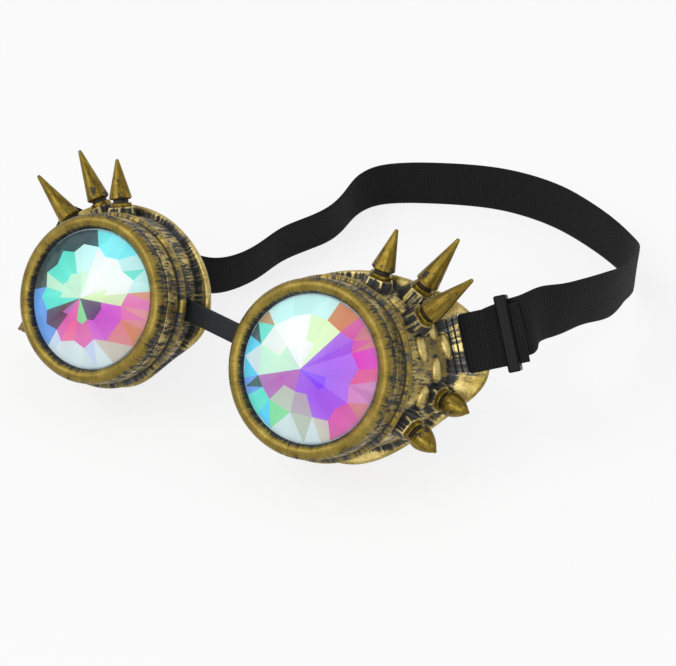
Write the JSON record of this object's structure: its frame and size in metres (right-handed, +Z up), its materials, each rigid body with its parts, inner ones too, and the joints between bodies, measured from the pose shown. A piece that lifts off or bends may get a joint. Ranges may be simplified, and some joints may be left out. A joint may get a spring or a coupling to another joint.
{
  "type": "steampunk goggles",
  "caption": "Steampunk goggles: flared eyecups with screw-on rings, faceted dichroic lenses and temple spikes, joined by a rubber nose bridge and an elastic head strap.",
  "frame": {"origin": "on the table that the goggles lie on, midway between the lens axes, under the fronts of the rings", "axes": "+Z up from the table, -Y the way the lenses look before their tilt, +X to the lens with the adjuster"},
  "size_m": [0.2096, 0.2277, 0.0775],
  "materials": {
    "cup_paint": "antique brass paint, dry-brushed over charcoal",
    "ring_paint": "antique brass paint, dry-brushed over charcoal",
    "spike_paint": "bronze paint with dark specks",
    "dichroic_lens": "faceted, with a dichroic film",
    "gasket_rubber": "matte",
    "screw_steel": "zinc plated",
    "bridge_rubber": "matte",
    "webbing": "ribbed elastic",
    "adjuster_plastic": "satin"
  },
  "bodies": {
    "right_cup": {"right_eyecup": "cup_paint", "right_spike_inner": "spike_paint", "right_spike_middle": "spike_paint", "right_spike_outer": "spike_paint", "right_stud_upper": "spike_paint", "right_stud_lower": "spike_paint", "right_spike_collars": "spike_paint", "right_spike_screws": "screw_steel", "nose_bridge": "bridge_rubber", "head_strap": "webbing"},
    "right_lens_stack": {"right_lens": "dichroic_lens", "right_lens_gasket": "gasket_rubber"},
    "right_ring": {"right_lens_ring": "ring_paint"},
    "left_cup": {"left_eyecup": "cup_paint", "left_spike_inner": "spike_paint", "left_spike_middle": "spike_paint", "left_spike_outer": "spike_paint", "left_stud_upper": "spike_paint", "left_stud_lower": "spike_paint", "left_spike_collars": "spike_paint", "left_spike_screws": "screw_steel"},
    "left_lens_stack": {"left_lens": "dichroic_lens", "left_lens_gasket": "gasket_rubber"},
    "left_ring": {"left_lens_ring": "ring_paint"},
    "adjuster": {"strap_adjuster": "adjuster_plastic"}
  },
  "joints": [
    {"name": "bridge_fold", "type": "hinge", "parent": "right_cup", "child": "left_cup", "pos_m": [-0.00016, 0.01742, 0.03739], "axis": [0.1414, 0.4955, 0.857], "range_deg": [-25, 30], "stiffness_Nm_per_rad": 0.05, "deforming": ["nose_bridge", "head_strap"]},
    {"name": "right_lens_out", "type": "slide", "parent": "right_cup", "child": "right_lens_stack", "axis": [0, -0.8669, 0.4985], "range_m": [0, 0.0045]},
    {"name": "right_ring_turn", "type": "hinge", "parent": "right_lens_stack", "child": "right_ring", "pos_m": [0.0444, 0, 0.04408], "axis": [0, -0.8669, 0.4985], "range_deg": [0, 810]},
    {"name": "left_lens_out", "type": "slide", "parent": "left_cup", "child": "left_lens_stack", "axis": [0, -0.8669, 0.4985], "range_m": [0, 0.0045]},
    {"name": "left_ring_turn", "type": "hinge", "parent": "left_lens_stack", "child": "left_ring", "pos_m": [-0.0444, 0, 0.04476], "axis": [0, -0.8669, 0.4985], "range_deg": [0, 810]},
    {"name": "adjuster_slide", "type": "slide", "parent": "right_cup", "child": "adjuster", "axis": [0.8734, 0.3875, 0.295], "range_m": [-0.0018, 0.0004]}
  ],
  "couplings": [
    {"joint": "right_lens_out", "follows": "right_ring_turn", "m_per_rad": 0.00031831},
    {"joint": "left_lens_out", "follows": "left_ring_turn", "m_per_rad": 0.00031831}
  ]
}
